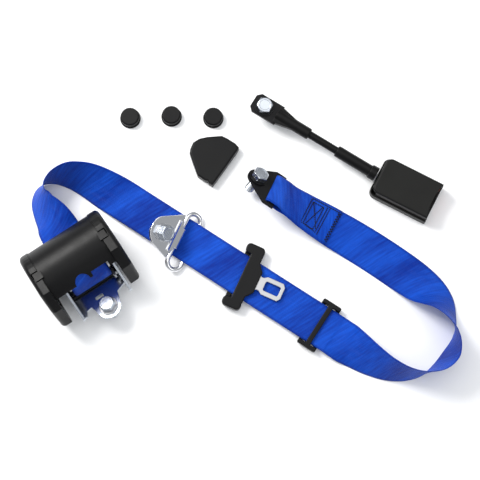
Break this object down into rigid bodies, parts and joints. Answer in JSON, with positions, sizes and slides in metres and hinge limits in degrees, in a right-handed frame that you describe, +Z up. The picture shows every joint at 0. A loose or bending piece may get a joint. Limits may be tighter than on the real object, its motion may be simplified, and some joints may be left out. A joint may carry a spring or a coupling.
{
  "type": "three-point inertia-reel belt kit",
  "caption": "Static-fit inertia-reel lap and shoulder belt kit: reel, webbing, pillar loop, tongue, keeper, floor anchor, stalk buckle and loose covers.",
  "frame": {"origin": "centre of the footprint on the floor that the kit lies on", "axes": "+X along the laid-out kit from the reel to the webbing's far loop, +Z up from the floor"},
  "size_m": [0.5028, 0.3388, 0.0821],
  "materials": {
    "reel_frame": "bright zinc plate",
    "spacer_bar": "bright zinc plate",
    "reel_cover": "fine satin grain",
    "end_cap_spring": "fine satin grain",
    "end_cap_sensor": "fine satin grain",
    "pawl_pin": "satin steel",
    "sensor_housing": "fine satin grain",
    "clock_spring": "satin steel",
    "webbing": "shiny woven polyester",
    "webbing_eye": "shiny woven polyester",
    "spool": "satin steel",
    "webbing_roll": "shiny woven polyester",
    "ratchet_left": "satin steel",
    "ratchet_right": "satin steel",
    "sensor_disc": "fine satin grain",
    "lock_pawl": "satin steel",
    "sensor_ball": "satin steel",
    "sensor_lever": "fine satin grain",
    "reel_bolt": "bright zinc plate",
    "reel_washer": "bright zinc plate",
    "wire_loop": "polished chrome plate",
    "loop_plate": "polished chrome plate",
    "pillar_bolt": "bright zinc plate",
    "pillar_washer": "bright zinc plate",
    "tongue_cover": "fine satin grain",
    "tongue_blade": "satin steel",
    "web_keeper": "fine satin grain",
    "anchor_plate": "black coated steel",
    "anchor_bolt": "bright zinc plate",
    "anchor_washer": "bright zinc plate",
    "stalk_tab": "black coated steel",
    "ferrule_near": "satin sleeve",
    "stalk_cable": "satin sleeve",
    "stalk_bolt": "bright zinc plate",
    "stalk_washer": "bright zinc plate",
    "ferrule_far": "satin sleeve",
    "buckle_boot": "satin sleeve",
    "buckle_top": "fine satin grain",
    "buckle_bottom": "fine satin grain",
    "buckle_frame": "satin steel",
    "ejector_spring": "satin steel",
    "button_spring": "satin steel",
    "press_button": "gloss red",
    "latch_plate": "satin steel",
    "ejector": "fine satin grain",
    "bolt_cap_1": "fine satin grain",
    "bolt_cap_2": "fine satin grain",
    "bolt_cap_3": "fine satin grain",
    "loop_cover": "fine satin grain"
  },
  "bodies": {
    "reel": {"reel_frame": "reel_frame", "spacer_bar": "spacer_bar", "reel_cover": "reel_cover", "end_cap_spring": "end_cap_spring", "end_cap_sensor": "end_cap_sensor", "pawl_pin": "pawl_pin", "sensor_housing": "sensor_housing", "clock_spring": "clock_spring", "webbing": "webbing", "webbing_eye": "webbing_eye"},
    "spool": {"spool": "spool", "webbing_roll": "webbing_roll", "ratchet_left": "ratchet_left", "ratchet_right": "ratchet_right", "sensor_disc": "sensor_disc"},
    "pawl": {"lock_pawl": "lock_pawl"},
    "sensor_ball": {"sensor_ball": "sensor_ball"},
    "sensor_lever": {"sensor_lever": "sensor_lever"},
    "reel_bolt": {"reel_bolt": "reel_bolt", "reel_washer": "reel_washer"},
    "wire_loop": {"wire_loop": "wire_loop"},
    "loop_plate": {"loop_plate": "loop_plate"},
    "pillar_bolt": {"pillar_bolt": "pillar_bolt", "pillar_washer": "pillar_washer"},
    "tongue": {"tongue_cover": "tongue_cover", "tongue_blade": "tongue_blade"},
    "keeper": {"web_keeper": "web_keeper"},
    "anchor": {"anchor_plate": "anchor_plate"},
    "anchor_bolt": {"anchor_bolt": "anchor_bolt", "anchor_washer": "anchor_washer"},
    "stalk": {"stalk_tab": "stalk_tab", "ferrule_near": "ferrule_near", "stalk_cable": "stalk_cable"},
    "stalk_bolt": {"stalk_bolt": "stalk_bolt", "stalk_washer": "stalk_washer"},
    "buckle": {"ferrule_far": "ferrule_far", "buckle_boot": "buckle_boot", "buckle_top": "buckle_top", "buckle_bottom": "buckle_bottom", "buckle_frame": "buckle_frame", "ejector_spring": "ejector_spring", "button_spring": "button_spring"},
    "button": {"press_button": "press_button"},
    "latch": {"latch_plate": "latch_plate"},
    "ejector": {"ejector": "ejector"},
    "cap_1": {"bolt_cap_1": "bolt_cap_1"},
    "cap_2": {"bolt_cap_2": "bolt_cap_2"},
    "cap_3": {"bolt_cap_3": "bolt_cap_3"},
    "cover": {"loop_cover": "loop_cover"}
  },
  "joints": [
    {"name": "spool_spin", "type": "hinge", "parent": "reel", "child": "spool", "pos_m": [-0.18503, -0.03433, 0.039], "axis": [0.832, 0.5548, 0], "range_deg": [-1440, 5760]},
    {"name": "pawl_tilt", "type": "hinge", "parent": "reel", "child": "pawl", "pos_m": [-0.16743, -0.06072, 0.0217], "axis": [0.832, 0.5548, 0], "range_deg": [0, 7], "stiffness_Nm_per_rad": 0.02},
    {"name": "ball_rise", "type": "slide", "parent": "reel", "child": "sensor_ball", "axis": [-0.1876, 0.2813, 0.9411], "range_m": [0, 0.0009]},
    {"name": "lever_tilt", "type": "hinge", "parent": "reel", "child": "sensor_lever", "pos_m": [-0.15425, -0.00695, 0.01347], "axis": [-0.832, -0.5548, 0], "range_deg": [0, 4.5]},
    {"name": "reel_bolt_spin", "type": "hinge", "parent": "reel", "child": "reel_bolt", "pos_m": [-0.15183, -0.08411, 0.0233], "axis": [-0.1876, 0.2813, 0.9411], "continuous": true},
    {"name": "loop_slide", "type": "slide", "parent": "reel", "child": "wire_loop", "axis": [0.8387, -0.5446, 0], "range_m": [-0.01, 0.015]},
    {"name": "loop_plate_swing", "type": "hinge", "parent": "wire_loop", "child": "loop_plate", "pos_m": [-0.07376, -0.00318, 0.01355], "axis": [0.4163, 0.9092, 0], "range_deg": [0, 80]},
    {"name": "pillar_bolt_spin", "type": "hinge", "parent": "loop_plate", "child": "pillar_bolt", "pos_m": [-0.0883, -0.00037, 0.03344], "axis": [0.6084, -0.2785, 0.7431], "continuous": true},
    {"name": "tongue_slide", "type": "slide", "parent": "reel", "child": "tongue", "axis": [0.8387, -0.5446, 0], "range_m": [-0.025, 0.02]},
    {"name": "keeper_slide", "type": "slide", "parent": "reel", "child": "keeper", "axis": [0.8387, -0.5446, 0], "range_m": [-0.015, 0.001]},
    {"name": "anchor_swing", "type": "hinge", "parent": "reel", "child": "anchor", "pos_m": [0.04234, 0.05061, 0.02169], "axis": [0.3101, 0.7597, -0.5716], "range_deg": [0, 9]},
    {"name": "anchor_bolt_spin", "type": "hinge", "parent": "anchor", "child": "anchor_bolt", "pos_m": [0.02015, 0.06541, 0.02932], "axis": [0.4699, 0.4002, 0.7868], "continuous": true},
    {"name": "buckle_lift", "type": "slide", "parent": "reel", "child": "stalk", "axis": [0, 0, 1], "range_m": [0, 0.15]},
    {"name": "stalk_bolt_spin", "type": "hinge", "parent": "stalk", "child": "stalk_bolt", "pos_m": [0.02802, 0.15348, 0.0237], "axis": [0.0508, -0.0307, 0.9982], "continuous": true},
    {"name": "stalk_bend", "type": "hinge", "parent": "stalk", "child": "buckle", "pos_m": [0.09754, 0.11138, 0.01736], "axis": [0, 0, 1], "range_deg": [-12, 15], "stiffness_Nm_per_rad": 0.5, "deforming": ["stalk_cable"]},
    {"name": "button_press", "type": "slide", "parent": "buckle", "child": "button", "axis": [-0.8854, 0.4648, 0], "range_m": [0, 0.004], "stiffness_N_per_m": 400, "deforming": ["button_spring"]},
    {"name": "latch_lift", "type": "slide", "parent": "buckle", "child": "latch", "axis": [0, 0, 1], "range_m": [0, 0.003]},
    {"name": "ejector_push", "type": "slide", "parent": "buckle", "child": "ejector", "axis": [-0.8854, 0.4648, 0], "range_m": [0, 0.01], "stiffness_N_per_m": 150, "deforming": ["ejector_spring"]},
    {"name": "cap_1_lift", "type": "slide", "parent": "reel", "child": "cap_1", "axis": [0, 0, 1], "range_m": [0, 0.12]},
    {"name": "cap_2_lift", "type": "slide", "parent": "reel", "child": "cap_2", "axis": [0, 0, 1], "range_m": [0, 0.12]},
    {"name": "cap_3_lift", "type": "slide", "parent": "reel", "child": "cap_3", "axis": [0, 0, 1], "range_m": [0, 0.12]},
    {"name": "cover_lift", "type": "slide", "parent": "reel", "child": "cover", "axis": [0, 0, 1], "range_m": [0, 0.12]}
  ],
  "couplings": [
    {"joint": "lever_tilt", "follows": "ball_rise", "rad_per_m": 83},
    {"joint": "latch_lift", "follows": "button_press", "ratio": 0.7}
  ]
}
